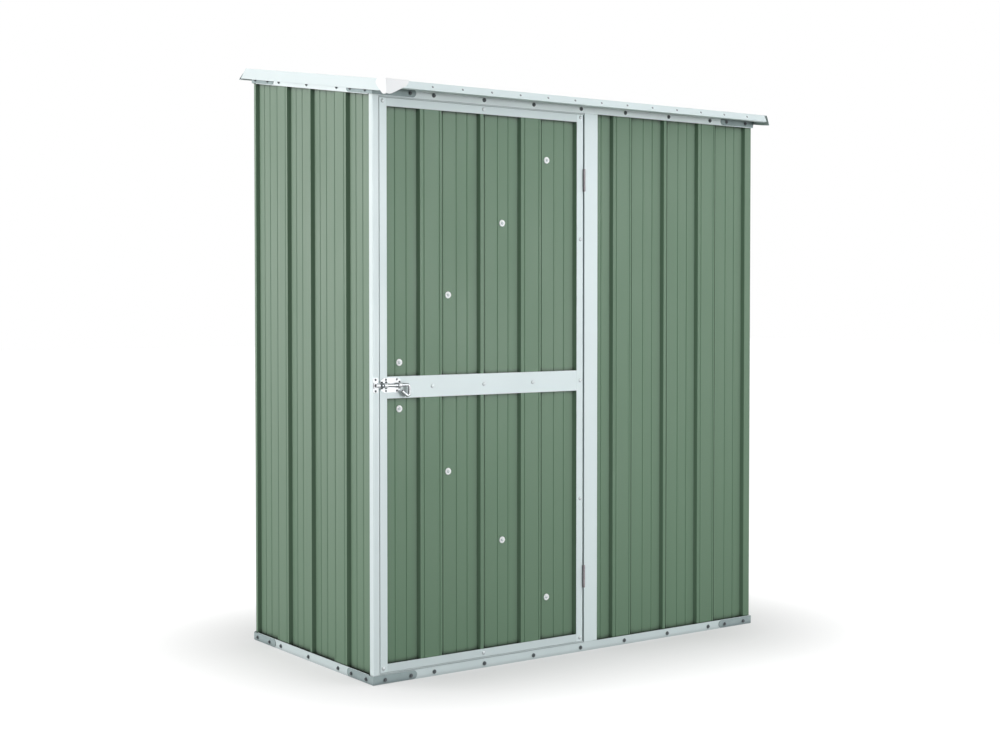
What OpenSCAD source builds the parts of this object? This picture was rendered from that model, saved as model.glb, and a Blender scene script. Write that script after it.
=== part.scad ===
// Metal tool shed with a skillion roof, ribbed sheet walls and one hinged door.
// Millimetres, +Z up. The door is in the low front wall, which faces -Y.

/* [Shed] */
// Width over the wall rails
width = 1520; // [1300:1:1800]
// Depth over the wall rails
depth = 760; // [700:1:1100]
// Height of the front wall to the top of its top rail
front_height = 1740; // [1600:1:1900]
// Rise of the roof from the front rail to the rear rail
roof_rise = 117; // [60:1:180]

/* [Rails] */
// Height of the wall rails
rail_h = 28; // [24:1:40]
// Sheet thickness of rails, posts and door frame
frame_t = 1.2; // [0.8:0.1:2]
// Clearance between pieces that are slid together
fit = 0.2; // [0.1:0.05:0.5]

/* [Ribbed sheet] */
// Sheet thickness of walls and roof
sheet_t = 0.8; // [0.5:0.1:1.2]
// Set-back of the wall sheets from the rail faces
sheet_in = 4; // [2:0.5:8]
// Distance between two narrow ribs
rib_pitch = 369; // [340:1:400]
// Depth of the wall ribs
rib_depth = 10; // [6:0.5:12]
// Crest width of the narrow ribs
narrow_crest = 11; // [8:1:20]
// Crest width of the wide ribs
wide_crest = 75; // [60:1:100]
// Run of the sloping rib sides
rib_side = 7; // [4:0.5:12]
// Height of the fine stiffening grooves
groove_h = 1.2; // [0.6:0.1:2]
// Half width of the fine stiffening grooves
groove_half = 2.2; // [1.5:0.1:4]
// Place of the first pan groove from the foot of a rib
groove_a = 53.5; // [40:0.5:60]
// Place of the second pan groove from the foot of a rib
groove_b = 92.5; // [75:0.5:105]
// Place of the crease beside the foot of a rib
crease = 5; // [4:0.5:8]
// Place of the first crest groove from the edge of a wide rib
crest_groove_a = 13; // [8:1:20]
// Place of the second crest groove from the other edge of a wide rib
crest_groove_b = 7; // [5:0.5:20]
// Shift of the front and rear rib pattern from the centre
rib_shift = -4; // [-30:1:30]
// Flat strip at the corner ends of the front and rear sheets
corner_crest = 27.5; // [22:0.5:40]

/* [Door] */
// Clear gap around the door leaf
door_gap = 5.5; // [5:0.5:9]
// Set-back of the door face from the rail faces
door_setback = 1; // [0:0.5:2]
// Width of the latch post face
post_w = 18; // [17:0.5:24]
// Depth of the latch post side face
post_side = 21; // [18:1:26]
// Overlap of the door stops behind the door
stop_lap = 14; // [10:1:18]
// Width of the door leaf
door_w = 751; // [650:1:760]
// Depth of the door frame
door_depth = 18; // [17:0.5:20]
// Face width of the door stiles
stile_w = 24.5; // [22:0.5:40]
// Face height of the door top and bottom rails
door_rail_h = 24; // [22:1:40]
// Height of the door mid rail
mid_rail_h = 64; // [50:1:90]
// Height of the middle of the mid rail above the ground
mid_rail_z = 866; // [800:1:950]
// Width of the diagonal door braces
brace_w = 40; // [30:1:60]
// Depth of the diagonal door braces
brace_d = 4; // [3:0.2:4.4]

/* [Hinge post] */
// Width of the main face of the hinge post
hinge_post_w = 37; // [30:1:50]
// Width of the hinge post flange over the front sheet
hinge_flange_w = 17; // [12:1:24]
// Distance from the hinge post web to the edge of the front sheet inside it
hinge_tuck = 14; // [8:1:30]

/* [Hinges] */
// Distance of the hinge axis in front of the door face
axis_out = 3; // [2:0.5:4]
// Gap between door and hinge post
hinge_gap = 7; // [6.5:0.5:9]
// Radius of the hinge knuckles
knuckle_r = 4; // [3.5:0.1:4.2]
// Radius of the hinge pins
pin_r = 2; // [1.5:0.1:2.4]
// Running clearance on the hinge pins
pin_fit = 0.1; // [0.05:0.01:0.2]
// Length of each hinge
hinge_len = 70; // [60:1:100]
// Thickness of the hinge leaves
leaf_t = 1.5; // [1.2:0.1:1.8]
// Depth of the hinge leaves
leaf_d = 14; // [11:0.5:15]
// Gap between the knuckles of a hinge
knuckle_gap = 0.5; // [0.3:0.1:1]
// Distance of the hinges from the door's top and bottom
hinge_inset = 206.5; // [120:0.5:300]

/* [Pad bolt] */
// Height of the bolt rod
bolt_z = 873; // [850:1:882]
// Radius of the bolt rod
rod_r = 4.5; // [4:0.1:5]
// Running clearance around the bolt rod
rod_fit = 0.6; // [0.4:0.1:1]
// Distance of the rod from the door face
rod_out = 12; // [11:0.5:16]
// Thickness of the bolt plates
plate_t = 1.5; // [1:0.1:2.5]
// Height of the bolt plates
plate_h = 43; // [38:1:50]
// Length of the guide plate on the door
guide_len = 68; // [60:1:72]
// Cut of the corners of the guide plate
guide_cut = 10; // [4:1:14]
// Corner radius of the keeper plate
keeper_r = 4; // [2:0.5:6]
// Length of each guide loop
loop_len = 11; // [8:1:14]
// Wall around the rod in keeper and guides
loop_wall = 2; // [1.6:0.1:3]
// Distance of the handle from the tip of the rod
handle_x = 93.5; // [93:0.5:110]
// Drop of the handle below the rod
handle_drop = 31; // [29:0.5:36]
// Radius of the bend from the rod into the handle
bend_r = 7.5; // [6:0.5:10]
// Radius of the bend at the foot of the handle
hook_r = 6; // [5:0.5:8]
// Length of the straight end of the handle
hook_len = 20; // [15:1:22]
// Rise of the straight end of the handle
hook_rise = 38; // [0:1:40]

/* [Corner brackets] */
// Length of the bracket legs
bracket_leg = 150; // [120:1:180]
// Height of the bracket legs
bracket_h = 25; // [20:1:26]

/* [Roof] */
// Distance between roof ribs
roof_pitch = 105.3; // [95:0.1:120]
// Height of the roof ribs
roof_rib_h = 17; // [12:0.5:22]
// Crest width of the roof ribs
roof_crest = 24; // [15:1:40]
// Run of the sloping sides of the roof ribs
roof_side = 12; // [8:1:18]
// Place of the seam between the roof sheets, right of the centre
roof_seam = -15; // [-40:0.5:40]
// Overhang of the roof sheets at the front
overhang = 55; // [40:1:70]
// Overhang of the roof sheets at the rear
rear_overhang = 36; // [25:1:60]
// Gap between the roof sheet ends and the flashings
eave_gap = 3; // [2:0.5:6]
// Sheet thickness of the roof flashings
flashing_t = 1; // [0.8:0.1:1.5]
// Width of the flashing flanges on the roof
flashing_flange = 38; // [30:1:60]
// Room behind the barge flashings for the screw heads on the rails
screw_room = 3.6; // [3:0.1:6]
// Depth of the barge flashings below the roof sheet
barge_drop = 15; // [8:0.5:18]
// Run of the front eave face
eave_run = 12; // [8:0.5:16]
// Drop of the front eave face
eave_drop = 23; // [18:0.5:30]
// Distance of the front eave flashing's ends from the barge flashings
eave_short = 9; // [6:0.5:12]
// Width of the return lip of the front eave flashing
eave_lip = 9; // [6:1:12]
// Run of the rear eave face
rear_run = 54.5; // [40:0.5:60]
// Drop of the rear eave face
rear_drop = 31; // [25:0.5:36]
// Width of the return lip of the rear eave flashing
rear_lip = 26; // [20:1:45]

/* [Corner cap] */
// Length of the cap's front wing
cap_wing = 76; // [70:1:84]
// Length of the cap's side wing
cap_side = 58; // [52:1:70]
// Room between the cap and the front eave face
cap_out = 19; // [16:0.5:22]
// Wall of the cap
cap_t = 2; // [1.5:0.1:3]
// Depth of the cap at the corner
cap_drop = 42; // [36:0.5:42]
// Radius of the cap's lower edge at the corner
lobe_r = 24; // [20:0.5:28]
// Middle of the lobes from the cap's corner
lobe_x = 10; // [6:0.5:16]
// Radius of the cap's lower edge at the ends of the wings
wing_r = 16; // [12:0.5:18]

/* [Hidden] */
$fn = 48;
slope = roof_rise / depth;
pitch = atan(slope);
front_y = -depth / 2;
left_x = -width / 2;
// Outer faces of the wall sheets and posts
sheet_y = front_y + sheet_in;
sheet_x = left_x + sheet_in;
post_y = front_y + frame_t + fit;
post_x = left_x + frame_t + fit;
// Depth taken by a wall sheet
sheet_d = rib_depth + sheet_t;
// Door leaf
door_l = post_x + post_w + door_gap;
door_r = door_l + door_w;
door_y = front_y + door_setback;
door_bottom = rail_h + door_gap;
door_top = front_height - rail_h - door_gap;
door_sheet_y = door_y + frame_t + fit;
door_back = door_y + door_depth;
rail_l = door_l + stile_w + fit;
rail_r = door_r - stile_w - fit;
brace_y = door_sheet_y + sheet_d + fit;
// Rails are as wide as the door is deep, so that their inner lips stop the door
stop_y = door_back + door_gap;
rail_w = stop_y + frame_t - front_y;
stop_end = door_l + stop_lap;
// Hinge post
hinge_l = door_r + hinge_gap;
hinge_m = hinge_l + hinge_post_w;
hinge_r = hinge_m + hinge_flange_w;
flange_y = sheet_y - frame_t - fit / 2;
// Hinge axis
axis_x = door_r + hinge_gap / 2;
axis_y = door_y - axis_out;
leaf_back = knuckle_r + fit;
mid_len = hinge_len / 3;
end_len = (hinge_len - mid_len) / 2 - knuckle_gap;
upper_hinge_z = door_top - hinge_inset;
lower_hinge_z = door_bottom + hinge_inset;
// Bolt
rod_y = door_y - rod_out;
loop_r = rod_r + rod_fit + loop_wall;
bolt_tip = door_l;
bend_x = bolt_tip + handle_x - bend_r;
guide_l = door_l + 2;
keeper_l = post_x + 0.5;
keeper_w = post_w - 1.5;
// Corner brackets, in the middle of the rail faces
bracket_z = (rail_h - bracket_h) / 2;
top_z = front_height - rail_h + bracket_z;
rear_z = front_height + roof_rise - rail_h + bracket_z;
// Wall sheets are cut from this height to the roof slope
wall_max = front_height + roof_rise;
// The narrow end rib of a side wall reaches the corner
side_crest = depth / 2 - sheet_in - rib_pitch + narrow_crest / 2;
rear_end = -sheet_x - sheet_t - fit;
// Levels measured from the roof plane, which lies on the top rails
under_web = -frame_t - fit;
rib_top = fit + roof_rib_h + sheet_t;
flash_under = rib_top + fit;
flash_top = flash_under + flashing_t;
barge_in = left_x - frame_t - screw_room;
barge_out = barge_in - flashing_t;
eave_end = -barge_in - fit / 2;
roof_edge = width / 2 - 1;
roof_foot = roof_crest / 2 + roof_side;
// Rib centres, kept clear of the sheet edges
roof_ribs = [
    for (k = [-9.5:9.5])
        if (abs(roof_seam + k * roof_pitch) + roof_foot < roof_edge - 4)
            roof_seam + k * roof_pitch
];
roof_len = depth / cos(pitch);
roof_front = -overhang;
roof_rear = roof_len + rear_overhang;
eave_u = roof_front - eave_gap;
rear_u = roof_rear + eave_gap;

// Which sub-part to show

// Height of the roof plane at a given depth
function roof_z(y) = front_height + (y - front_y) * slope;
// Point on the roof, from distance up the slope and height above the roof plane
function roof_pt(u, w) = [
    front_y + u * cos(pitch) - w * sin(pitch),
    front_height + u * sin(pitch) + w * cos(pitch)
];

// Unit normal on the left of a run from a to b
function left_of(a, b) = [a[1] - b[1], b[0] - a[0]] / norm(b - a);
// A folded strip keeps its thickness round each fold
function fold_shift(p, i, t) =
    let (n = len(p) - 1)
    let (a = left_of(p[max(i - 1, 0)], p[max(i, 1)]))
    let (b = left_of(p[min(i, n - 1)], p[min(i + 1, n)]))
    p[i] + (a + b) * t / (1 + a * b);
function folded(p, t) = concat(p, [for (i = [len(p) - 1:-1:0]) fold_shift(p, i, t)]);

// One period of the wall rib pattern, from a narrow rib centre; second value is depth
function groove(s, d, h) = [[s - groove_half, d], [s, d + h], [s + groove_half, d]];
function pan_run(s) = concat(
    groove(s + crease, rib_depth, -groove_h),
    groove(s + groove_a, rib_depth, -groove_h),
    groove(s + groove_b, rib_depth, -groove_h)
);
function rib_period(s) =
    let (half = narrow_crest / 2)
    let (wide = rib_pitch / 2 - wide_crest / 2)
    concat(
        [[s + half, 0], [s + half + rib_side, rib_depth]],
        pan_run(s + half + rib_side),
        [[s + wide - rib_side, rib_depth], [s + wide, 0]],
        groove(s + wide + crest_groove_a, 0, groove_h),
        groove(s + wide + wide_crest - crest_groove_b, 0, groove_h),
        [[s + wide + wide_crest, 0], [s + wide + wide_crest + rib_side, rib_depth]],
        pan_run(s + wide + wide_crest + rib_side),
        [[s + rib_pitch - half - rib_side, rib_depth], [s + rib_pitch - half, 0]]
    );
rib_points = [for (k = [-3:3]) each rib_period(k * rib_pitch)];
// Rib line from s0 to s1; an edge width gives a flat strip at crest level along that end
function rib_line(s0, s1, edge0, edge1) =
    let (a = edge0 > 0 ? s0 + edge0 + rib_side : s0)
    let (b = edge1 > 0 ? s1 - edge1 - rib_side : s1)
    concat(
        edge0 > 0 ? [[s0, 0], [s0 + edge0, 0], [a, rib_depth]] : [[a, lookup(a, rib_points)]],
        [for (p = rib_points) if (p[0] > a + 5 && p[0] < b - 5) p],
        edge1 > 0 ? [[b, rib_depth], [s1 - edge1, 0], [s1, 0]] : [[b, lookup(b, rib_points)]]
    );

// Ribbed sheet standing along X, crests at y = 0, pans behind
module ribbed(x0, x1, shift, height, edge0 = 0, edge1 = 0) {
    translate([shift, 0, 0])
        linear_extrude(height)
            polygon(folded(rib_line(x0 - shift, x1 - shift, edge0, edge1), sheet_t));
}

// Prism along X from a depth and height outline
module along_x(x0, x1, outline) {
    translate([x0, 0, 0])
        rotate([90, 0, 90])
            linear_extrude(x1 - x0)
                polygon(outline);
}

// Plate cut to the roof slope, with its edges at set heights above the roof plane
module sloped(x0, x1, y0, y1, low, high) {
    along_x(x0, x1, [
        [y0, roof_z(y0) + low], [y1, roof_z(y1) + low],
        [y1, roof_z(y1) + high], [y0, roof_z(y0) + high]
    ]);
}

module frame_color() color([0.86, 0.9, 0.91]) children();
module wall_color() color([0.44, 0.5, 0.46]) children();
module zinc_color() color([0.6, 0.62, 0.63]) children();

// Strip of a rail lip behind the door, from the latch stop to the hinge post
module door_stop(z) {
    translate([stop_end + fit, stop_y, z])
        cube([hinge_l - stop_end - fit, frame_t, rail_h]);
}

// Base rail along X: outer lip and web over the full width, inner lip coped at the ends
module base_rail_x() {
    translate([left_x, front_y, 0])
        cube([width, rail_w, frame_t]);
    translate([left_x, front_y, 0])
        cube([width, frame_t, rail_h]);
    translate([left_x + rail_w, front_y + rail_w - frame_t, 0])
        cube([width - 2 * rail_w, frame_t, rail_h]);
}
module base_rail_y() {
    run = depth - 2 * rail_w - 2 * fit;
    translate([left_x, -run / 2, 0])
        cube([rail_w, run, frame_t]);
    translate([left_x, -run / 2, 0])
        cube([frame_t, run, rail_h]);
    translate([left_x + rail_w - frame_t, -run / 2, 0])
        cube([frame_t, run, rail_h]);
}
module base_rail_front() {
    frame_color() {
        base_rail_x();
        door_stop(stop_lap);
    }
}
module base_rail_rear() frame_color() mirror([0, 1, 0]) base_rail_x();
module base_rail_left() frame_color() base_rail_y();
module base_rail_right() frame_color() mirror([1, 0, 0]) base_rail_y();

// Top rails are channels turned down, their webs rolled to the roof slope
module top_rail_x(y_out, y_in, under) {
    y0 = min(y_out, y_in);
    y1 = max(y_out, y_in);
    lip = y_out < y_in ? frame_t : -frame_t;
    sloped(left_x, -left_x, y0, y1, -frame_t, 0);
    along_x(left_x, -left_x, [
        [y_out, under], [y_out + lip, under],
        [y_out + lip, roof_z(y_out + lip)], [y_out, roof_z(y_out)]
    ]);
    along_x(left_x + rail_w, -left_x - rail_w, [
        [y_in, under], [y_in - lip, under],
        [y_in - lip, roof_z(y_in - lip)], [y_in, roof_z(y_in)]
    ]);
}
module top_rail_y() {
    y1 = depth / 2 - rail_w - fit;
    sloped(left_x, left_x + rail_w, -y1, y1, -frame_t, 0);
    sloped(left_x, left_x + frame_t, -y1, y1, -rail_h, 0);
    sloped(left_x + rail_w - frame_t, left_x + rail_w, -y1, y1, -rail_h, 0);
}
module top_rail_front() {
    frame_color() {
        top_rail_x(front_y, front_y + rail_w, front_height - rail_h);
        door_stop(front_height - rail_h - stop_lap);
    }
}
module top_rail_rear() frame_color() top_rail_x(-front_y, -front_y - rail_w, roof_z(-front_y) - rail_h);
module top_rail_left() frame_color() top_rail_y();
module top_rail_right() frame_color() mirror([1, 0, 0]) top_rail_y();

// One bracket leg, lying on the rail face from the corner along X
module bracket_leg_plate() {
    rotate([90, 0, 0])
        linear_extrude(frame_t)
            union() {
                translate([-frame_t, 0])
                    square([bracket_leg - bracket_h / 2 + frame_t, bracket_h]);
                translate([bracket_leg - bracket_h / 2, bracket_h / 2])
                    circle(d = bracket_h);
            }
}
// Bracket round the front left corner, its side leg turned by the slope of the rail
module corner_bracket(z, tilt) {
    translate([left_x, front_y, z]) {
        bracket_leg_plate();
        rotate([tilt, 0, 0])
            mirror([1, -1, 0])
                bracket_leg_plate();
    }
}
module base_bracket_front_left() zinc_color() corner_bracket(bracket_z, 0);
module base_bracket_front_right() zinc_color() mirror([1, 0, 0]) corner_bracket(bracket_z, 0);
module base_bracket_rear_left() zinc_color() mirror([0, 1, 0]) corner_bracket(bracket_z, 0);
module base_bracket_rear_right() zinc_color() rotate(180) corner_bracket(bracket_z, 0);
module top_bracket_front_left() zinc_color() corner_bracket(top_z, pitch);
module top_bracket_front_right() zinc_color() mirror([1, 0, 0]) corner_bracket(top_z, pitch);
module top_bracket_rear_left() zinc_color() mirror([0, 1, 0]) corner_bracket(rear_z, -pitch);
module top_bracket_rear_right() zinc_color() rotate(180) corner_bracket(rear_z, -pitch);

// Upright cut off under the web of the top rail
module upright(outline) {
    intersection() {
        translate([0, 0, frame_t])
            linear_extrude(front_height)
                polygon(outline);
        sloped(left_x, -left_x, front_y, -front_y, -2 * front_height, under_web);
    }
}

// Latch post: stop behind the door, web, face, and a side face over the left wall sheet
module latch_post() {
    side_x = sheet_x - frame_t - fit / 2;
    web_x = post_x + post_w;
    frame_color() {
        upright(folded([
            [web_x, stop_y - fit],
            [web_x, post_y],
            [side_x, post_y],
            [side_x, post_y + post_side]
        ], -frame_t));
        translate([0, 0, rail_h + 1])
            linear_extrude(front_height - 2 * rail_h - 2)
                polygon(folded([
                    [stop_end, stop_y], [web_x, stop_y], [web_x, post_y + 1]
                ], -frame_t));
    }
}

// Hinge post: face, flange over the front sheet, web at the hinges and a lip behind the sheet
module hinge_post() {
    lip_y = sheet_y + sheet_d + fit / 2 + frame_t;
    frame_color()
        upright(folded([
            [hinge_r, flange_y],
            [hinge_m + 1, flange_y],
            [hinge_m, post_y],
            [hinge_l, post_y],
            [hinge_l, lip_y],
            [hinge_r, lip_y]
        ], -frame_t));
}

// Wall sheet ends under the webs of the top rails
module under_roof() {
    intersection() {
        children();
        sloped(left_x, -left_x, front_y, -front_y, -2 * front_height, under_web);
    }
}

// Side walls, cut to the roof slope
module side_wall(y0) {
    under_roof()
        translate([sheet_x, 0, frame_t])
            mirror([1, -1, 0])
                ribbed(y0, -sheet_y, 0, wall_max, side_crest + y0 - sheet_y, side_crest);
}
module left_wall_sheet() wall_color() side_wall(post_y + frame_t + fit);
module right_wall_sheet() wall_color() mirror([1, 0, 0]) side_wall(sheet_y + sheet_t + fit);

// Front sheet runs from inside the hinge post to the right corner
module front_wall_sheet() {
    wall_color()
        under_roof()
            translate([0, sheet_y, frame_t])
                ribbed(hinge_l + hinge_tuck, -sheet_x, rib_shift, wall_max, 0, corner_crest);
}
module rear_wall(x0, x1, edge0, edge1) {
    under_roof()
        translate([0, -sheet_y, frame_t])
            mirror([0, 1, 0])
                ribbed(x0, x1, rib_shift, wall_max, edge0, edge1);
}
module rear_wall_sheet_left() wall_color() rear_wall(-rear_end, rib_shift - fit / 2, corner_crest - 8, 0);
module rear_wall_sheet_right() wall_color() rear_wall(rib_shift + fit / 2, rear_end, 0, corner_crest - 1);

// Roof sheet with trapezoid ribs up the slope
module roof_sheet(x0, x1) {
    line = concat([[x0, 0]], [
        for (x = roof_ribs)
            if (x > x0 && x < x1)
                each [
                    [x - roof_foot, 0], [x - roof_crest / 2, roof_rib_h],
                    [x + roof_crest / 2, roof_rib_h], [x + roof_foot, 0]
                ]
    ], [[x1, 0]]);
    translate([0, front_y, front_height])
        rotate([90 + pitch, 0, 0])
            translate([0, fit, -roof_rear])
                linear_extrude(roof_rear - roof_front)
                    polygon(folded(line, sheet_t));
}
module roof_sheet_left() wall_color() roof_sheet(-roof_edge, roof_seam - fit / 2);
module roof_sheet_right() wall_color() roof_sheet(roof_seam + fit / 2, roof_edge);

// Eave flashings lie on the roof ribs and fold down over the sheet ends
module front_eave_flashing() {
    corner = roof_pt(eave_u, flash_top);
    toe = corner + [-eave_run, -eave_drop];
    frame_color()
        along_x(barge_in + eave_short, -barge_in - eave_short, folded([
            roof_pt(eave_u + flashing_flange, flash_top),
            corner, toe, toe + [eave_lip, -2]
        ], flashing_t));
}
module rear_eave_flashing() {
    corner = roof_pt(rear_u, flash_top);
    toe = corner + [rear_run, -rear_drop];
    frame_color()
        along_x(-eave_end, eave_end, folded([
            roof_pt(rear_u - flashing_flange, flash_top),
            corner, toe, toe + [-rear_lip, -2]
        ], -flashing_t));
}

// Barge flashing: plate over the side rail and the eave ends, with a flange to the first rib
module barge(first_rib) {
    tip = roof_pt(eave_u, flash_top) + [-eave_run - 3, -eave_drop - 12];
    along_x(barge_out, barge_in, [
        roof_pt(eave_u - 3, flash_top), roof_pt(rear_u, flash_top),
        roof_pt(rear_u + rear_run * 0.6, -barge_drop), roof_pt(roof_front + 14, -barge_drop), tip
    ]);
    translate([0, front_y, front_height])
        rotate([pitch, 0, 0])
            translate([barge_out, eave_u + flashing_flange + 1, flash_under])
                cube([
                    first_rib + roof_crest / 2 - barge_out,
                    rear_u - eave_u - 2 * flashing_flange - 2,
                    flashing_t
                ]);
}
module left_barge_flashing() frame_color() barge(roof_ribs[0]);
module right_barge_flashing() frame_color() mirror([1, 0, 0]) barge(-roof_ribs[len(roof_ribs) - 1]);

// Moulded cap over the front left roof corner: two wings with rounded lobes and a top
module cap_wing_shape(run, top_near, top_far) {
    low = top_near - cap_drop;
    intersection() {
        hull() {
            translate([lobe_x, low + lobe_r])
                circle(r = lobe_r);
            translate([run - wing_r - 3, top_near - 4])
                circle(r = wing_r);
            translate([0, top_near - 5])
                square([run, 4]);
        }
        polygon([[0, low], [run, low], [run, top_far], [0, top_near]]);
    }
}
module roof_corner_cap() {
    x0 = barge_out - fit / 2 - cap_t;
    y0 = roof_pt(eave_u, flash_top)[0] - eave_run - cap_out;
    over = (flash_top + fit) / cos(pitch);
    near = roof_z(y0) + over;
    far = roof_z(y0 + cap_side) + over;
    color([0.96, 0.96, 0.96]) {
        translate([x0, y0 + cap_t, 0])
            rotate([90, 0, 0])
                linear_extrude(cap_t)
                    cap_wing_shape(cap_wing, near + cap_t / 2, near + cap_t / 2);
        translate([x0, y0, 0])
            rotate([90, 0, 90])
                linear_extrude(cap_t)
                    cap_wing_shape(cap_side, near + cap_t / 2, far + cap_t / 2);
        along_x(x0, x0 + cap_wing, [
            [y0, near], [y0 + cap_side, far], [y0 + cap_side, far + cap_t], [y0, near + cap_t]
        ]);
    }
}

// Butt hinges, leaves in the gap between door edge and hinge post
module hinge_post_leaf(z) {
    zinc_color()
        translate([axis_x, axis_y, z]) {
            translate([hinge_gap / 2 - leaf_t, leaf_back, -hinge_len / 2])
                cube([leaf_t, leaf_d, hinge_len]);
            for (end_z = [-hinge_len / 2, hinge_len / 2 - end_len]) {
                translate([0, 0, end_z])
                    cylinder(r = knuckle_r, h = end_len);
                translate([hinge_gap / 2 - leaf_t, 0, end_z])
                    cube([leaf_t, leaf_back + 1, end_len]);
            }
            translate([0, 0, -hinge_len / 2 - 1])
                cylinder(r = pin_r, h = hinge_len + 2);
        }
}
module upper_hinge_post_leaf() hinge_post_leaf(upper_hinge_z);
module lower_hinge_post_leaf() hinge_post_leaf(lower_hinge_z);
module hinge_door_leaf(z) {
    zinc_color()
        translate([axis_x, axis_y, z])
            difference() {
                union() {
                    translate([-hinge_gap / 2, leaf_back, -hinge_len / 2])
                        cube([leaf_t, leaf_d, hinge_len]);
                    translate([0, 0, -mid_len / 2])
                        cylinder(r = knuckle_r, h = mid_len);
                    translate([-hinge_gap / 2, 0, -mid_len / 2])
                        cube([leaf_t, leaf_back + 1, mid_len]);
                }
                translate([0, 0, -mid_len])
                    cylinder(r = pin_r + pin_fit, h = 2 * mid_len);
            }
}
module upper_hinge_door_leaf() hinge_door_leaf(upper_hinge_z);
module lower_hinge_door_leaf() hinge_door_leaf(lower_hinge_z);

// Folded channel that holds the sheet edge, open towards +X
module stile_outline(w) {
    polygon(folded([
        [w, 0], [0, 0], [0, door_depth], [w, door_depth]
    ], -frame_t));
}
module door_latch_stile() {
    frame_color()
        translate([door_l, door_y, door_bottom])
            linear_extrude(door_top - door_bottom)
                stile_outline(stile_w);
}
module door_hinge_stile() {
    frame_color()
        translate([door_r, door_y, door_bottom])
            mirror([1, 0, 0])
                linear_extrude(door_top - door_bottom)
                    stile_outline(stile_w);
}
module door_edge_rail() {
    along_x(rail_l, rail_r, folded([
        [door_y, door_rail_h], [door_y, 0],
        [door_back, 0], [door_back, door_rail_h]
    ], frame_t));
}
module door_bottom_rail() frame_color() translate([0, 0, door_bottom]) door_edge_rail();
module door_top_rail() frame_color() translate([0, 0, door_top]) mirror([0, 0, 1]) door_edge_rail();
module door_mid_rail() {
    frame_color()
        translate([rail_l, door_y, mid_rail_z - mid_rail_h / 2])
            cube([rail_r - rail_l, frame_t, mid_rail_h]);
}

// Ribbed sheet held in the door frame
module door_sheet() {
    in = frame_t + fit + sheet_t;
    wall_color()
        translate([0, door_sheet_y, door_bottom + in])
            ribbed(door_l + in, door_r - in, rib_shift, door_top - door_bottom - 2 * in);
}

// Diagonal braces behind the door sheet, from the latch side to the hinge corners
module door_brace(z_end) {
    x0 = door_l + frame_t + fit;
    x1 = door_r - frame_t - fit;
    run = [x1 - x0, z_end - mid_rail_z];
    turn = atan2(run[1], run[0]);
    far = norm(run);
    frame_color()
        intersection() {
            translate([x0, brace_y, mid_rail_z])
                rotate([0, -turn, 0])
                    translate([-50, 0, -brace_w / 2])
                        rotate([90, 0, 90])
                            linear_extrude(far + 100)
                                polygon(folded([
                                    [brace_d, 0], [0, 0], [0, brace_w], [brace_d, brace_w]
                                ], -frame_t));
            translate([x0, brace_y - 1, min(mid_rail_z + 3, z_end)])
                cube([x1 - x0, door_depth, abs(z_end - mid_rail_z) - 3]);
        }
}
module door_brace_upper() door_brace(door_top - frame_t - fit);
module door_brace_lower() door_brace(door_bottom + frame_t + fit);

// Loop that a rod along X runs through, standing on a plate face at y = 0
module rod_loop(length) {
    translate([0, -(rod_out - plate_t), 0])
        rotate([0, 90, 0])
            cylinder(r = loop_r, h = length);
    translate([0, -(rod_out - plate_t), -loop_r])
        cube([length, rod_out - plate_t, 2 * loop_r]);
}
module bolt_keeper() {
    back = post_y - (door_y - plate_t);
    zinc_color()
        difference() {
            union() {
                translate([keeper_l, post_y, bolt_z - plate_h / 2])
                    rotate([90, 0, 0])
                        linear_extrude(plate_t)
                            offset(r = keeper_r)
                                translate([keeper_r, keeper_r])
                                    square([keeper_w - 2 * keeper_r, plate_h - 2 * keeper_r]);
                translate([keeper_l + 2, door_y - plate_t, bolt_z])
                    rod_loop(keeper_w - 4);
                translate([keeper_l + 2, door_y - plate_t, bolt_z - loop_r])
                    cube([keeper_w - 4, back, 2 * loop_r]);
            }
            translate([keeper_l - 1, rod_y, bolt_z])
                rotate([0, 90, 0])
                    cylinder(r = rod_r + rod_fit, h = keeper_w + 2);
        }
}
module bolt_guide_plate() {
    high = plate_h / 2;
    zinc_color()
        difference() {
            union() {
                translate([guide_l, door_y, bolt_z])
                    rotate([90, 0, 0])
                        linear_extrude(plate_t)
                            polygon([
                                [0, guide_cut - high], [guide_cut, -high],
                                [guide_len - guide_cut, -high], [guide_len, guide_cut - high],
                                [guide_len, high - guide_cut], [guide_len - guide_cut, high],
                                [guide_cut, high], [0, high - guide_cut]
                            ]);
                for (x = [4, guide_len - loop_len - 4])
                    translate([guide_l + x, door_y - plate_t, bolt_z])
                        rod_loop(loop_len);
            }
            translate([guide_l - 1, rod_y, bolt_z])
                rotate([0, 90, 0])
                    cylinder(r = rod_r + rod_fit, h = guide_len + 2);
        }
}

// Bend of the round bar in the XZ plane from its +X side, up or down, with straight ends
module bar_bend(x, z, radius, side, angle, before, after) {
    translate([x, 0, z])
        rotate([90 * side, 0, 0]) {
            rotate_extrude(angle = angle)
                translate([radius, 0])
                    circle(r = rod_r);
            if (before > 0)
                translate([radius, 0, 0])
                    rotate([90, 0, 0])
                        cylinder(r = rod_r, h = before);
            rotate(angle)
                translate([radius, 0, 0])
                    rotate([-90, 0, 0])
                        cylinder(r = rod_r, h = after);
        }
}

// Bolt rod with its handle bent down and back
module pad_bolt() {
    leg_x = bend_x + bend_r;
    foot_z = hook_r - handle_drop;
    turn = 90 + hook_rise;
    zinc_color()
        translate([0, rod_y, bolt_z]) {
            bar_bend(bend_x, -bend_r, bend_r, 1, 90, -bend_r - foot_z, bend_x - bolt_tip);
            bar_bend(leg_x - hook_r, foot_z, hook_r, -1, turn, 0, hook_len);
        }
}

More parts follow.
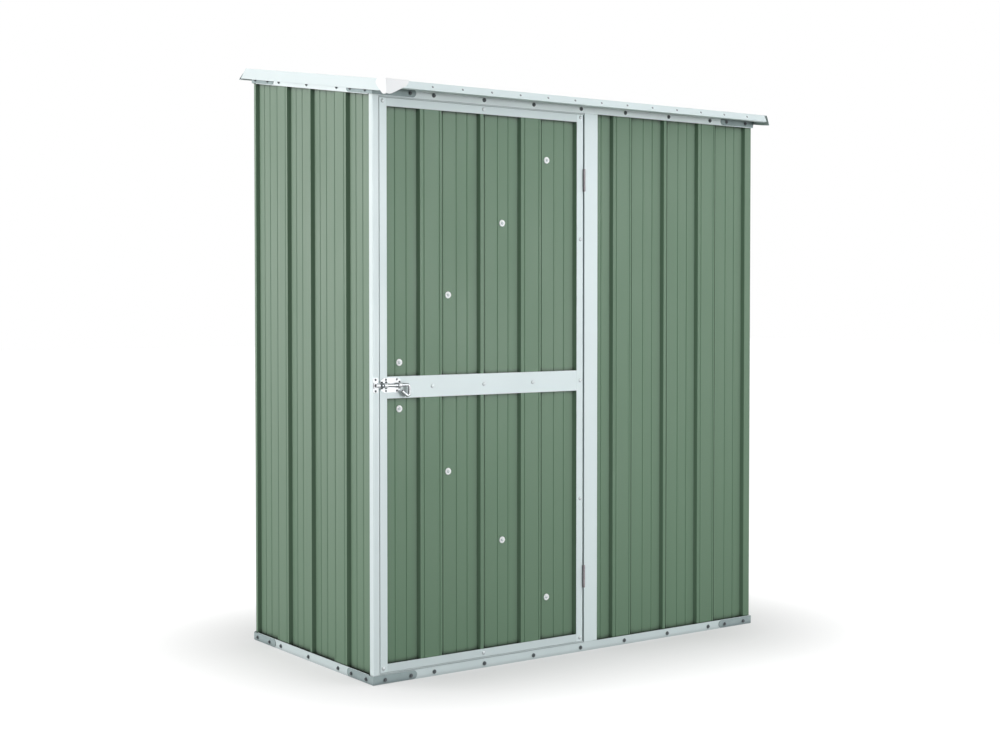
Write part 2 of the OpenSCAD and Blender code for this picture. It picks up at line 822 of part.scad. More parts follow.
base_rail_front();
base_rail_rear();
base_rail_left();
base_rail_right();
top_rail_front();
top_rail_rear();
top_rail_left();
top_rail_right();
base_bracket_front_left();
base_bracket_front_right();
base_bracket_rear_left();
base_bracket_rear_right();
top_bracket_front_left();
top_bracket_front_right();
top_bracket_rear_left();
top_bracket_rear_right();
latch_post();
hinge_post();
left_wall_sheet();
right_wall_sheet();
front_wall_sheet();
rear_wall_sheet_left();
rear_wall_sheet_right();
roof_sheet_left();
roof_sheet_right();
front_eave_flashing();
rear_eave_flashing();
left_barge_flashing();
right_barge_flashing();
roof_corner_cap();
upper_hinge_post_leaf();
lower_hinge_post_leaf();
bolt_keeper();
door_latch_stile();
door_hinge_stile();
door_top_rail();
door_mid_rail();
door_bottom_rail();
door_sheet();
door_brace_upper();
door_brace_lower();
upper_hinge_door_leaf();
lower_hinge_door_leaf();
bolt_guide_plate();
pad_bolt();
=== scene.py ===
import math

import bmesh
import bpy
from mathutils import Euler, Matrix, Vector


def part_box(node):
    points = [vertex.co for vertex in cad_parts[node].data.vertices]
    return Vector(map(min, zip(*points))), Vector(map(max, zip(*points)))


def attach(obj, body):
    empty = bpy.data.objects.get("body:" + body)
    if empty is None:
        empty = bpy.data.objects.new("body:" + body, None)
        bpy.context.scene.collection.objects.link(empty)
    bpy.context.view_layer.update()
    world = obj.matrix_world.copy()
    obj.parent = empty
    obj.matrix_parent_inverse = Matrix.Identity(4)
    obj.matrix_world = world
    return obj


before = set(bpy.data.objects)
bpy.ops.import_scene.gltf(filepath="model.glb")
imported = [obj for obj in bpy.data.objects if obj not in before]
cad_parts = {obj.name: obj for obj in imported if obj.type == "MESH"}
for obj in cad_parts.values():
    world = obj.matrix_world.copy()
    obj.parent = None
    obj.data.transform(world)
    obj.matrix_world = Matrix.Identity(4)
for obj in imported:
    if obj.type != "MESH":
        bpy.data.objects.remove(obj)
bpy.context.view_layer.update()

X, Y, Z = 0, 1, 2


def low(node, axis):
    """Lowest place of a node along an axis."""
    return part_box(node)[0][axis]


def high(node, axis):
    """Highest place of a node along an axis."""
    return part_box(node)[1][axis]


def middle(node, axis):
    """Place halfway through a node along an axis."""
    return (low(node, axis) + high(node, axis)) / 2


# Sizes in metres, read from the frame, that the fasteners and strips are set out by
HALF_W, HALF_D = high("base_rail_front", X), high("base_rail_rear", Y)
WIDTH, DEPTH = 2 * HALF_W, 2 * HALF_D
RAIL_H = high("base_rail_rear", Z)
REAR_H = high("top_rail_rear", Z)
SLOPE = (REAR_H - high("top_rail_front", Z)) / (HALF_D - high("top_rail_front", Y))
FRONT_H = REAR_H - SLOPE * DEPTH
PITCH = math.atan(SLOPE)
DOOR_FACE, POST_FACE = low("door_mid_rail", Y), low("latch_post", Y)
DOOR_L, DOOR_R = low("door_latch_stile", X), high("door_hinge_stile", X)
BOLT_Z, ROD_Y = middle("bolt_keeper", Z), middle("pad_bolt", Y)


# Materials

def srgb(r, g, b):
    """Linear colour of a tone that is given in display values from 0 to 255."""
    def linear(level):
        share = level / 255
        return share / 12.92 if share <= 0.04045 else ((share + 0.055) / 1.055) ** 2.4
    return (linear(r), linear(g), linear(b))


def shader(name, color, roughness, metallic=0.0, specular=0.5):
    mat = bpy.data.materials.new(name)
    mat.use_nodes = True
    bsdf = mat.node_tree.nodes["Principled BSDF"]
    bsdf.inputs["Base Color"].default_value = (*color, 1.0)
    bsdf.inputs["Roughness"].default_value = roughness
    bsdf.inputs["Metallic"].default_value = metallic
    bsdf.inputs["Specular IOR Level"].default_value = specular
    return mat


# Most of the noise lies between these two values
NOISE_LOW, NOISE_HIGH = 0.3, 0.7


def noise_on(tree, scale, stretch, detail=4.0):
    """Noise over the piece's own coordinates, drawn out along an axis by a small stretch."""
    coord = tree.nodes.new("ShaderNodeTexCoord")
    mapping = tree.nodes.new("ShaderNodeMapping")
    mapping.inputs["Scale"].default_value = stretch
    noise = tree.nodes.new("ShaderNodeTexNoise")
    noise.inputs["Scale"].default_value = scale
    noise.inputs["Detail"].default_value = detail
    tree.links.new(coord.outputs["Object"], mapping.inputs["Vector"])
    tree.links.new(mapping.outputs["Vector"], noise.inputs["Vector"])
    return noise.outputs["Fac"]


def mottle(mat, color, spread, scale, stretch=(1, 1, 1)):
    """Slow, faint change of tone over the surface."""
    tree = mat.node_tree
    ramp = tree.nodes.new("ShaderNodeValToRGB")
    dark_end, light_end = ramp.color_ramp.elements
    dark_end.position, light_end.position = NOISE_LOW, NOISE_HIGH
    dark_end.color = (*[c * (1 - spread) for c in color], 1)
    light_end.color = (*[min(c * (1 + spread), 1) for c in color], 1)
    tree.links.new(noise_on(tree, scale, stretch), ramp.inputs["Fac"])
    tree.links.new(ramp.outputs["Color"], tree.nodes["Principled BSDF"].inputs["Base Color"])


def sheen_change(mat, least, most, scale, stretch=(1, 1, 1)):
    """Roughness that drifts between two values over the surface."""
    tree = mat.node_tree
    span = tree.nodes.new("ShaderNodeMapRange")
    span.inputs["From Min"].default_value = NOISE_LOW
    span.inputs["From Max"].default_value = NOISE_HIGH
    span.inputs["To Min"].default_value = least
    span.inputs["To Max"].default_value = most
    tree.links.new(noise_on(tree, scale, stretch), span.inputs["Value"])
    tree.links.new(span.outputs["Result"], tree.nodes["Principled BSDF"].inputs["Roughness"])


def grain(mat, depth, scale):
    """Fine relief of the coat, its depth in metres."""
    tree = mat.node_tree
    bump = tree.nodes.new("ShaderNodeBump")
    bump.inputs["Strength"].default_value = 1.0
    bump.inputs["Distance"].default_value = depth
    tree.links.new(noise_on(tree, scale, stretch=(1, 1, 1), detail=2.0), bump.inputs["Height"])
    tree.links.new(bump.outputs["Normal"], tree.nodes["Principled BSDF"].inputs["Normal"])


# Share of free surroundings where the painted shade of a joint is deepest, and from where the coat
# has its own tone
SHUT_IN, FREE = 0.45, 0.86
SHADE_SAMPLES = 12


def painted_joint_shade(mat, reach, deep):
    """Painted shade: tone that falls to a deep one where a face runs close into a neighbouring piece.
    """
    tree = mat.node_tree
    base = tree.nodes["Principled BSDF"].inputs["Base Color"]
    coat = base.links[0].from_socket
    near = tree.nodes.new("ShaderNodeAmbientOcclusion")
    near.samples = SHADE_SAMPLES
    near.inputs["Distance"].default_value = reach
    tone = tree.nodes.new("ShaderNodeMapRange")
    tone.inputs["From Min"].default_value = SHUT_IN
    tone.inputs["From Max"].default_value = FREE
    tone.inputs["To Min"].default_value = deep
    tone.inputs["To Max"].default_value = 1.0
    shaded = tree.nodes.new("ShaderNodeVectorMath")
    shaded.operation = "SCALE"
    tree.links.new(near.outputs["AO"], tone.inputs["Value"])
    tree.links.new(coat, shaded.inputs[0])
    tree.links.new(tone.outputs["Result"], shaded.inputs["Scale"])
    tree.links.new(shaded.outputs["Vector"], base)


# Tones, each named as its material
GREEN = srgb(94, 125, 99)
PALE = srgb(226, 239, 240)
# Lighter copy of the pale tone, painted light
PALE_PAINTED_LIGHT = srgb(236, 247, 248)
# Darker copy of the pale tone, painted shade
PALE_PAINTED_SHADE = srgb(213, 226, 227)
ZINC = srgb(152, 167, 168)
BRIGHT = srgb(204, 207, 209)
ROD_ZINC = srgb(150, 153, 155)
HINGE_ZINC = srgb(140, 136, 139)
WHITE = srgb(246, 247, 248)
# Near black, painted shade of the guide's openings and the keeper's hollow
SHADE = srgb(28, 30, 31)
DARK = srgb(86, 90, 93)
GREY = srgb(150, 156, 158)
LIGHT_GREY = srgb(190, 197, 199)

# Satin paint of the ribbed sheets, drawn out along the ribs of the walls
green = shader("green_paint", GREEN, roughness=0.45, specular=0.35)
mottle(green, GREEN, spread=0.025, scale=3.0, stretch=(1, 1, 0.35))
sheen_change(green, least=0.41, most=0.49, scale=6.0, stretch=(1, 1, 0.4))
grain(green, depth=0.00004, scale=900.0)
# Painted shade in the folds of the ribs and where the sheets run in under the rails
painted_joint_shade(green, reach=0.030, deep=0.05)


def pale_coat(name, color):
    """Smooth coat of the frame and the flashings."""
    mat = shader(name, color, roughness=0.38, specular=0.4)
    mottle(mat, color, spread=0.012, scale=4.0)
    sheen_change(mat, least=0.34, most=0.44, scale=9.0)
    grain(mat, depth=0.00003, scale=900.0)
    return mat


pale = pale_coat("pale_coat", PALE)
# Lighter copy of the pale coat, painted light for the top rails in the eave's shade and for the strip
# in the latch gap
pale_painted_light = pale_coat("pale_painted_light", PALE_PAINTED_LIGHT)
# Darker copy of the pale coat, painted shade for the base rails and the door's top and bottom rails
pale_painted_shade = pale_coat("pale_painted_shade", PALE_PAINTED_SHADE)
# Painted shade in the joints of the pale coat and of its darker copy
for mat in (pale, pale_painted_shade):
    painted_joint_shade(mat, reach=0.020, deep=0.65)

# Dull zinc of the corner brackets, the rail washers and the roof screws
zinc = shader("zinc_plate", ZINC, roughness=0.6, metallic=0.15, specular=0.3)
mottle(zinc, ZINC, spread=0.06, scale=40.0)
sheen_change(zinc, least=0.54, most=0.68, scale=60.0)
grain(zinc, depth=0.00004, scale=260.0)
# Painted shade where the zinc runs close into a neighbouring piece
painted_joint_shade(zinc, reach=0.020, deep=0.5)

# Brighter zinc of the bolt's two plates and its rod, brushed along the rod
bright = shader("bright_zinc", BRIGHT, roughness=0.42, metallic=0.35, specular=0.3)
sheen_change(bright, least=0.36, most=0.48, scale=300.0, stretch=(0.04, 1, 1))
rod_zinc = shader("rod_zinc", ROD_ZINC, roughness=0.2, metallic=0.95)
sheen_change(rod_zinc, least=0.14, most=0.28, scale=300.0, stretch=(0.04, 1, 1))
for mat, color in ((bright, BRIGHT), (rod_zinc, ROD_ZINC)):
    mottle(mat, color, spread=0.03, scale=60.0, stretch=(0.15, 1, 1))

hinge_zinc = shader("hinge_zinc", HINGE_ZINC, roughness=0.4, metallic=0.6)
mottle(hinge_zinc, HINGE_ZINC, spread=0.08, scale=70.0)
sheen_change(hinge_zinc, least=0.32, most=0.5, scale=90.0)

# Moulded plastic of the corner cap and the door's washers
white = shader("white_plastic", WHITE, roughness=0.4)
mottle(white, WHITE, spread=0.01, scale=12.0)
grain(white, depth=0.00004, scale=500.0)

# Dark insets and keeper end, their darkness painted shade; screws and rivets
shade = shader("slot_shade", SHADE, roughness=0.7)
mottle(shade, SHADE, spread=0.1, scale=200.0)
dark = shader("screw_dark", DARK, roughness=0.5, metallic=0.1, specular=0.3)
mottle(dark, DARK, spread=0.12, scale=220.0)
grey = shader("rivet_grey", GREY, roughness=0.4, metallic=0.5)
mottle(grey, GREY, spread=0.08, scale=220.0)
light_grey = shader("door_rivet_grey", LIGHT_GREY, roughness=0.4, metallic=0.3)
mottle(light_grey, LIGHT_GREY, spread=0.06, scale=220.0)


def finish_of(name):
    """Material of a CAD node, told from its name."""
    if "sheet" in name:
        return green
    if "bracket" in name:
        return zinc
    if "leaf" in name:
        return hinge_zinc
    if name == "pad_bolt":
        return rod_zinc
    if "bolt" in name:
        return bright
    if "cap" in name:
        return white
    # Base rails and the door's top and bottom rails take the darker copy of the pale coat, painted
    # shade
    if "base_rail" in name or name in ("door_top_rail", "door_bottom_rail"):
        return pale_painted_shade
    # Top rails take the lighter copy of the pale coat, painted light against the eave's shade
    if name.startswith("top_rail"):
        return pale_painted_light
    return pale


for name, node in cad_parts.items():
    node.data.materials.clear()
    node.data.materials.append(finish_of(name))


# Fasteners and thin trim

def mesh_piece(name, bm, mat, body):
    """Makes a bmesh a piece of its own, on a body."""
    mesh = bpy.data.meshes.new(name)
    bm.to_mesh(mesh)
    bm.free()
    mesh.materials.append(mat)
    obj = bpy.data.objects.new(name, mesh)
    bpy.context.scene.collection.objects.link(obj)
    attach(obj, body)


FRONT, REAR, LEFT, RIGHT = (0, -1, 0), (0, 1, 0), (-1, 0, 0), (1, 0, 0)


def standing(place, direction):
    """Turns +Z to the given direction at a place on a face."""
    turn = Vector(direction).to_track_quat("Z", "Y").to_matrix().to_4x4()
    return Matrix.Translation(Vector(place)) @ turn


def disc(bm, at, base, height, radius, top_radius, sides):
    """Round or hexagonal slice over a face, from a base up by a height."""
    centre = Matrix.Translation((0, 0, base + height / 2))
    bmesh.ops.create_cone(bm, cap_ends=True, segments=sides, radius1=radius, radius2=top_radius,
                          depth=height, matrix=at @ centre)


def each_once(items):
    """The items in their order, without repeats."""
    return list(dict.fromkeys(items))


DOME_SIDES, DOME_RINGS = 16, 8
FACE_TOLERANCE = 0.00001


def dome(bm, at, radius, height):
    """Upper half of a flattened ball, closed by a flat foot."""
    flatten = Matrix.Diagonal((radius, radius, height, 1))
    ball = bmesh.ops.create_uvsphere(bm, u_segments=DOME_SIDES, v_segments=DOME_RINGS, radius=1.0,
                                     matrix=at @ flatten)
    to_face = at.inverted()
    upper = [v for v in ball["verts"] if (to_face @ v.co).z > -FACE_TOLERANCE]
    below = [v for v in ball["verts"] if v not in upper]
    bmesh.ops.delete(bm, geom=below, context="VERTS")
    rim = each_once(e for v in upper for e in v.link_edges if e.is_boundary)
    bmesh.ops.contextual_create(bm, geom=rim)
    shell = each_once(f for v in upper for f in v.link_faces)
    bmesh.ops.recalc_face_normals(bm, faces=shell)


def block(bm, place, size, edge):
    """Small bar with eased edges."""
    box = Matrix.Translation(place) @ Matrix.Diagonal((*size, 1))
    made = bmesh.ops.create_cube(bm, size=1.0, matrix=box)
    edges = each_once(e for v in made["verts"] for e in v.link_edges)
    bmesh.ops.bevel(bm, geom=edges, offset=edge, offset_type="OFFSET", segments=2, profile=0.5,
                    affect="EDGES", material=-1)


# Hexagon-head screws with washers along the rails, places measured from the front left corner
FRONT_SCREW_XS = (0.040, 0.129, 0.212, 0.394, 0.581, 0.768, 0.950, 1.136, 1.321, 1.396, 1.484)
SIDE_SCREW_YS = (0.038, 0.124, 0.205, 0.391, 0.574, 0.650, 0.735)
SCREW_UP = 0.0127
WASHER_T, WASHER_R, WASHER_TOP_R = 0.0010, 0.0068, 0.0066
COLLAR_T, COLLAR_R, COLLAR_TOP_R = 0.0010, 0.0056, 0.0048
HEX_T, HEX_R, HEX_TOP_R = 0.0022, 0.0043, 0.0040
ROUND, HEXAGON = 24, 6
BRACKET_L = high("base_bracket_front_left", X) + HALF_W
BRACKET_T = high("base_bracket_rear_right", X) - HALF_W
screw_heads, screw_washers = bmesh.new(), bmesh.new()


def rail_screw(place, direction):
    """Washer, round collar and hexagon head, one on the other."""
    at = standing(place, direction)
    disc(screw_washers, at, 0, WASHER_T, WASHER_R, WASHER_TOP_R, ROUND)
    disc(screw_heads, at, WASHER_T, COLLAR_T, COLLAR_R, COLLAR_TOP_R, ROUND)
    disc(screw_heads, at, WASHER_T + COLLAR_T, HEX_T, HEX_R, HEX_TOP_R, HEXAGON)


def bracket_under(along, length):
    """Thickness of the corner bracket under a screw, 0 between the brackets."""
    return BRACKET_T if along < BRACKET_L or along > length - BRACKET_L else 0.0


for along in FRONT_SCREW_XS:
    x, y = along - HALF_W, HALF_D + bracket_under(along, WIDTH)
    for rail_foot in (0, FRONT_H - RAIL_H):
        rail_screw((x, -y, rail_foot + SCREW_UP), FRONT)
    for rail_foot in (0, REAR_H - RAIL_H):
        rail_screw((x, y, rail_foot + SCREW_UP), REAR)
for along in SIDE_SCREW_YS:
    x, y = HALF_W + bracket_under(along, DEPTH), along - HALF_D
    for rail_foot in (0, FRONT_H + along * SLOPE - RAIL_H):
        rail_screw((-x, y, rail_foot + SCREW_UP), LEFT)
        rail_screw((x, y, rail_foot + SCREW_UP), RIGHT)
mesh_piece("rail_screw_heads", screw_heads, dark, "shed")
mesh_piece("rail_screw_washers", screw_washers, zinc, "shed")

# Roof fasteners, set out by the ribs on both sides of the seam between the roof sheets
RIB_PITCH = 0.1053
RIBS_A_SIDE = 7
ROOF_SEAM = high("roof_sheet_left", X)
RIB_XS = [ROOF_SEAM + (k + 0.5) * RIB_PITCH for k in range(-RIBS_A_SIDE, RIBS_A_SIDE)]
ROOF_UP = (0, -math.sin(PITCH), math.cos(PITCH))
RIVET_R, RIVET_H = 0.0036, 0.0016

# Heights of the barge flanges and the roof pans over the sloping plane of the rails
FLANGE_TOP, PAN_TOP = 0.0192, 0.0010


def roof_place(x, up_slope, off):
    """Point over the front rail's corner, up the slope of the roof and off its plane."""
    y = -HALF_D + up_slope * math.cos(PITCH) - off * math.sin(PITCH)
    z = FRONT_H + up_slope * math.sin(PITCH) + off * math.cos(PITCH)
    return (x, y, z)


# Rivets in the middle of the sloped eave faces, one at each roof rib
EAVE_RUN, EAVE_DROP, EAVE_LIP_FALL = 0.012, 0.023, 0.0021
REAR_RUN, REAR_DROP = 0.0545, 0.031
front_mid = (low("front_eave_flashing", Y) + EAVE_RUN / 2,
             low("front_eave_flashing", Z) + EAVE_LIP_FALL + EAVE_DROP / 2)
rear_mid = (high("rear_eave_flashing", Y) - REAR_RUN / 2,
            high("rear_eave_flashing", Z) - REAR_DROP / 2)
eave_rivets = bmesh.new()
for x in RIB_XS:
    dome(eave_rivets, standing((x, *front_mid), (0, -EAVE_DROP, EAVE_RUN)), RIVET_R, RIVET_H)
    dome(eave_rivets, standing((x, *rear_mid), (0, REAR_DROP, REAR_RUN)), RIVET_R, RIVET_H)
mesh_piece("eave_rivets", eave_rivets, grey, "shed")

# Rivets through the flanges of the barge flashings into the outer ribs
FLANGE_RIVETS = 6
FLANGE_RIVET_START, FLANGE_RIVET_STEP = 0.030, 0.137
flange_rivets = bmesh.new()
for x in (RIB_XS[0], RIB_XS[-1]):
    for step in range(FLANGE_RIVETS):
        place = roof_place(x, FLANGE_RIVET_START + step * FLANGE_RIVET_STEP, FLANGE_TOP)
        dome(flange_rivets, standing(place, ROOF_UP), RIVET_R, RIVET_H)
mesh_piece("flange_rivets", flange_rivets, grey, "shed")

# Screws in the pans of the roof sheets, over the front and rear rails
ROOF_SCREW_RUNS = (0.012, 0.757)
ROOF_WASHER_T, ROOF_WASHER_R, ROOF_WASHER_TOP_R = 0.0012, 0.0070, 0.0066
ROOF_WASHER_SIDES = 20
ROOF_HEX_T = 0.0028
roof_screws = bmesh.new()
for x in RIB_XS[:-1]:
    for up_slope in ROOF_SCREW_RUNS:
        at = standing(roof_place(x + RIB_PITCH / 2, up_slope, PAN_TOP), ROOF_UP)
        disc(roof_screws, at, 0, ROOF_WASHER_T, ROOF_WASHER_R, ROOF_WASHER_TOP_R, ROOF_WASHER_SIDES)
        disc(roof_screws, at, ROOF_WASHER_T, ROOF_HEX_T, HEX_R, HEX_TOP_R, HEXAGON)
mesh_piece("roof_screws", roof_screws, zinc, "shed")

# Rivets of the door frame, places measured from the front left corner
MID_RAIL_Z = middle("door_mid_rail", Z)
FRAME_RIVETS = ((0.207, MID_RAIL_Z), (0.393, MID_RAIL_Z), (0.578, MID_RAIL_Z), (0.766, MID_RAIL_Z),
                (0.766, 1.698), (0.766, 1.313), (0.766, 0.490), (0.766, 0.045),
                (0.036, 1.697), (0.392, 1.697), (0.036, 0.045), (0.392, 0.045))
DOOR_RIVET_R, DOOR_RIVET_H = 0.0062, 0.0022
door_rivets = bmesh.new()
for x, z in FRAME_RIVETS:
    dome(door_rivets, standing((x - HALF_W, DOOR_FACE, z), FRONT), DOOR_RIVET_R, DOOR_RIVET_H)
mesh_piece("door_rivets", door_rivets, light_grey, "door")

# White washers and grey rivets that hold the door sheet to its two braces
BRACE_RIVETS = ((0.098, 0.938), (0.270, 1.136), (0.469, 1.356), (0.640, 1.557),
                (0.098, 0.802), (0.270, 0.607), (0.469, 0.383), (0.640, 0.187))
FOLDED_SHEET_T = 0.0010
PAN_FACE = high("door_sheet", Y) - FOLDED_SHEET_T
BRACE_T = 0.0012
BRACE_BACK = low("door_brace_upper", Y) + BRACE_T
DOOR_WASHER_T, DOOR_WASHER_R, DOOR_WASHER_TOP_R = 0.0016, 0.0104, 0.0098
DOOR_WASHER_SIDES = 28
BRACE_RIVET_R, BRACE_RIVET_H = 0.0046, 0.0022
TAIL_R, TAIL_H = 0.0038, 0.0018
brace_washers, brace_rivets = bmesh.new(), bmesh.new()
for x, z in BRACE_RIVETS:
    at = standing((x - HALF_W, PAN_FACE, z), FRONT)
    on_washer = at @ Matrix.Translation((0, 0, DOOR_WASHER_T))
    disc(brace_washers, at, 0, DOOR_WASHER_T, DOOR_WASHER_R, DOOR_WASHER_TOP_R, DOOR_WASHER_SIDES)
    dome(brace_rivets, on_washer, BRACE_RIVET_R, BRACE_RIVET_H)
    dome(brace_rivets, standing((x - HALF_W, BRACE_BACK, z), REAR), TAIL_R, TAIL_H)
mesh_piece("brace_washers", brace_washers, white, "door")
mesh_piece("brace_rivets", brace_rivets, light_grey, "door")

# Pale strips beside the latch post and the rails that narrow the gap around the door
STRIP_T = 0.004
STRIP_EDGE = 0.0004
OPENING_FOOT, OPENING_HEAD = RAIL_H, FRONT_H - RAIL_H
LATCH_STRIP_FAR, LATCH_STRIP_NEAR = 0.0054, 0.0007
LATCH_STRIP_SHORT = 0.0010
RAIL_STRIP_H = 0.0041
RAIL_STRIP_CLEAR = 0.0001
PAST_LATCH, PAST_HINGE = 0.0014, 0.0066
latch_strip, rail_strips = bmesh.new(), bmesh.new()


def strip(bm, left, right, foot, head):
    """Upright or level strip set back from the door's face."""
    mid = ((left + right) / 2, DOOR_FACE + STRIP_T, (foot + head) / 2)
    block(bm, mid, (right - left, STRIP_T, head - foot), STRIP_EDGE)


strip(latch_strip, DOOR_L - LATCH_STRIP_FAR, DOOR_L - LATCH_STRIP_NEAR,
      OPENING_FOOT + LATCH_STRIP_SHORT, OPENING_HEAD - LATCH_STRIP_SHORT)
for foot in (OPENING_HEAD - RAIL_STRIP_CLEAR - RAIL_STRIP_H, OPENING_FOOT + RAIL_STRIP_CLEAR):
    strip(rail_strips, DOOR_L - PAST_LATCH, DOOR_R + PAST_HINGE, foot, foot + RAIL_STRIP_H)
# The latch strip takes the lighter pale coat, painted light, and the rail strips the darker one,
# painted shade
mesh_piece("latch_gap_strip", latch_strip, pale_painted_light, "shed")
mesh_piece("rail_gap_strips", rail_strips, pale_painted_shade, "shed")

# Small screws of the bolt plates, those of the guide measured from its left edge
PLATE_T = 0.0015
GUIDE_L = low("bolt_guide_plate", X)
GUIDE_SCREW_XS = (0.0181, 0.0551)
PLATE_SCREW_OFF = 0.0165
PLATE_SCREW_R, PLATE_SCREW_H = 0.0034, 0.0014
KEEPER_MID = middle("bolt_keeper", X)
guide_screws, keeper_screws = bmesh.new(), bmesh.new()
for z in (BOLT_Z - PLATE_SCREW_OFF, BOLT_Z + PLATE_SCREW_OFF):
    for along in GUIDE_SCREW_XS:
        at = standing((GUIDE_L + along, DOOR_FACE - PLATE_T, z), FRONT)
        dome(guide_screws, at, PLATE_SCREW_R, PLATE_SCREW_H)
    at = standing((KEEPER_MID, POST_FACE - PLATE_T, z), FRONT)
    dome(keeper_screws, at, PLATE_SCREW_R, PLATE_SCREW_H)
mesh_piece("guide_screws", guide_screws, dark, "door")
mesh_piece("keeper_screws", keeper_screws, dark, "shed")

# Dark insets, painted shade of the openings where the guide's loops are pressed out of the plate,
# measured from the same edge
SLOT_SIZE = (0.0070, 0.0003, 0.0044)
SLOT_EDGE = 0.0001
SLOT_MID_OUT = 0.0001
SLOT_XS = (0.0039, 0.0186, 0.0641)
SLOT_OFF = 0.0090
guide_slots = bmesh.new()
for along in SLOT_XS:
    for z in (BOLT_Z - SLOT_OFF, BOLT_Z + SLOT_OFF):
        mid = (GUIDE_L + along, DOOR_FACE - PLATE_T - SLOT_MID_OUT, z)
        block(guide_slots, mid, SLOT_SIZE, SLOT_EDGE)
mesh_piece("guide_slots", guide_slots, shade, "door")

# Dark end wall inside the keeper's loop, its darkness painted shade of the loop's hollow
END_WALL_IN = 0.0019
END_WALL_T, END_WALL_R = 0.0012, 0.0049
END_WALL_SIDES = 28
keeper_end = bmesh.new()
at = standing((low("bolt_keeper", X) + END_WALL_IN, ROD_Y, BOLT_Z), LEFT)
disc(keeper_end, at, 0, END_WALL_T, END_WALL_R, END_WALL_R, END_WALL_SIDES)
mesh_piece("keeper_end", keeper_end, shade, "shed")


# Floor, light and camera

FULL_WHITE = (1, 1, 1, 1)


def seen_directly(tree):
    """1 for rays from the camera and for mirrored rays, 0 for the rest."""
    path = tree.nodes.new("ShaderNodeLightPath")
    either = tree.nodes.new("ShaderNodeMath")
    either.operation = "MAXIMUM"
    tree.links.new(path.outputs["Is Camera Ray"], either.inputs[0])
    tree.links.new(path.outputs["Is Glossy Ray"], either.inputs[1])
    return either.outputs[0]


def vector_step(tree, operation, value, other=None):
    step = tree.nodes.new("ShaderNodeVectorMath")
    step.operation = operation
    tree.links.new(value, step.inputs[0])
    if other is not None:
        step.inputs[1].default_value = other
    return step


# The floor's lift to white grows with the distance from a core inside the plan of the walls, so the
# floor near the walls stays darker: painted shadow around the base, on top of the shadow it takes
# from the lamps
FLOOR_REACH = 30
FLOOR_GREY = 0.40
CORE = (0.47, 0.215, 0.0)
LIFT_FROM, LIFT_TO = 0.20, 0.76
LIFT_LEAST, LIFT_MOST = 0.45, 0.90


def floor_white():
    """Diffuse grey that takes the real shadow, lifted to white where it is seen, less so near the
    walls as painted shadow.
    """
    mat = shader("floor_white", (FLOOR_GREY, FLOOR_GREY, FLOOR_GREY), roughness=1.0, specular=0.0)
    tree = mat.node_tree
    bsdf = tree.nodes["Principled BSDF"]
    bsdf.inputs["Emission Color"].default_value = FULL_WHITE
    coord = tree.nodes.new("ShaderNodeTexCoord")
    half_plan = vector_step(tree, "ABSOLUTE", coord.outputs["Object"])
    past_core = vector_step(tree, "SUBTRACT", half_plan.outputs["Vector"], CORE)
    outside = vector_step(tree, "MAXIMUM", past_core.outputs["Vector"], (0.0, 0.0, 0.0))
    distance = vector_step(tree, "LENGTH", outside.outputs["Vector"])
    lift = tree.nodes.new("ShaderNodeMapRange")
    lift.inputs["From Min"].default_value = LIFT_FROM
    lift.inputs["From Max"].default_value = LIFT_TO
    lift.inputs["To Min"].default_value = LIFT_LEAST
    lift.inputs["To Max"].default_value = LIFT_MOST
    glow = tree.nodes.new("ShaderNodeMath")
    glow.operation = "MULTIPLY"
    tree.links.new(distance.outputs["Value"], lift.inputs["Value"])
    tree.links.new(lift.outputs["Result"], glow.inputs[0])
    tree.links.new(seen_directly(tree), glow.inputs[1])
    tree.links.new(glow.outputs[0], bsdf.inputs["Emission Strength"])
    return mat


floor_grid = bmesh.new()
bmesh.ops.create_grid(floor_grid, x_segments=1, y_segments=1, size=FLOOR_REACH)
floor_mesh = bpy.data.meshes.new("floor")
floor_grid.to_mesh(floor_mesh)
floor_grid.free()
floor_mesh.materials.append(floor_white())
floor = bpy.data.objects.new("floor", floor_mesh)
bpy.context.scene.collection.objects.link(floor)

# White surroundings that light the object at a quarter of the strength they are seen at
SKY_LIGHT, SKY_SEEN = 0.25, 1.0
world = bpy.data.worlds.new("studio")
bpy.context.scene.world = world
world.use_nodes = True
sky_tree = world.node_tree
sky = sky_tree.nodes["Background"]
sky.inputs["Color"].default_value = FULL_WHITE
level = sky_tree.nodes.new("ShaderNodeMapRange")
level.inputs["To Min"].default_value = SKY_LIGHT
level.inputs["To Max"].default_value = SKY_SEEN
sky_tree.links.new(seen_directly(sky_tree), level.inputs["Value"])
sky_tree.links.new(level.outputs["Result"], sky.inputs["Strength"])

LAMP_DISTANCE = 6


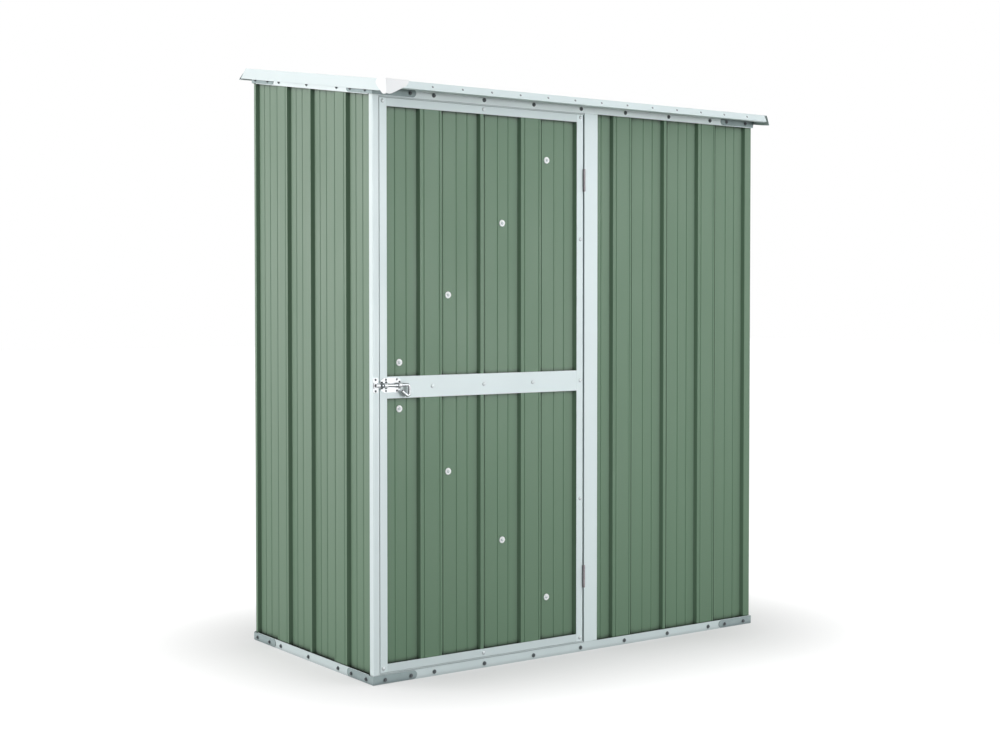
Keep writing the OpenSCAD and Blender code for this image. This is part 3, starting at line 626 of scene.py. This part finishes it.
def hang(name, data, place, direction):
    """Places a lamp that shines in the given direction."""
    lamp = bpy.data.objects.new(name, data)
    lamp.location = place
    lamp.rotation_euler = direction.to_track_quat("-Z", "Y").to_euler()
    bpy.context.scene.collection.objects.link(lamp)


def softbox(name, place, aim, size, power, spread=180, tint=(1, 1, 1)):
    """Flat lamp at a place, aimed at a point, its spread in degrees."""
    data = bpy.data.lights.new(name, "AREA")
    data.shape = "RECTANGLE"
    data.size, data.size_y = size
    data.energy = power
    data.spread = math.radians(spread)
    data.color = tint
    hang(name, data, place, Vector(aim) - Vector(place))


def far_light(name, side, strength, spread):
    """Wide soft light from far away on the given side, its spread in degrees."""
    data = bpy.data.lights.new(name, "SUN")
    data.energy = strength
    data.angle = math.radians(spread)
    hang(name, data, Vector(side) * LAMP_DISTANCE, -Vector(side))


far_light("right_light", side=(0.80, -0.54, 0.11), strength=1.50, spread=50)
far_light("left_light", side=(-0.78, 0.57, 0.09), strength=2.5, spread=45)
softbox("front_box", place=(2.8, -6.8, 0.9), aim=(-0.15, -0.38, 1.32), size=(3.0, 2.0), power=22,
        spread=64)
softbox("left_box", place=(-4.6, 3.4, 1.3), aim=(-0.76, 0, 1.02), size=(2.0, 2.0), power=9.5,
        spread=60)
softbox("high_box", place=(1.4, -4.6, 2.15), aim=(-0.3, -0.38, 1.5), size=(3.0, 1.6), power=25,
        tint=(0.88, 0.95, 1.0))
softbox("top_box", place=(0, -0.5, 5.0), aim=(0, 0, 0), size=(5.0, 5.0), power=42)

# Camera of the photograph, its turn and dip in degrees
CAMERA_TURN, CAMERA_DIP = 35.53, 1.543
cam_data = bpy.data.cameras.new("camera")
cam_data.lens = 56.09
cam_data.sensor_width = 36.0
cam_data.shift_y = -0.0323
cam = bpy.data.objects.new("camera", cam_data)
cam.location = (-3.0737, -4.2537, 1.1187)
cam.rotation_euler = Euler((math.radians(90 - CAMERA_DIP), 0, math.radians(-CAMERA_TURN)))
bpy.context.scene.collection.objects.link(cam)
bpy.context.scene.camera = cam
bpy.context.scene.view_settings.view_transform = "Standard"
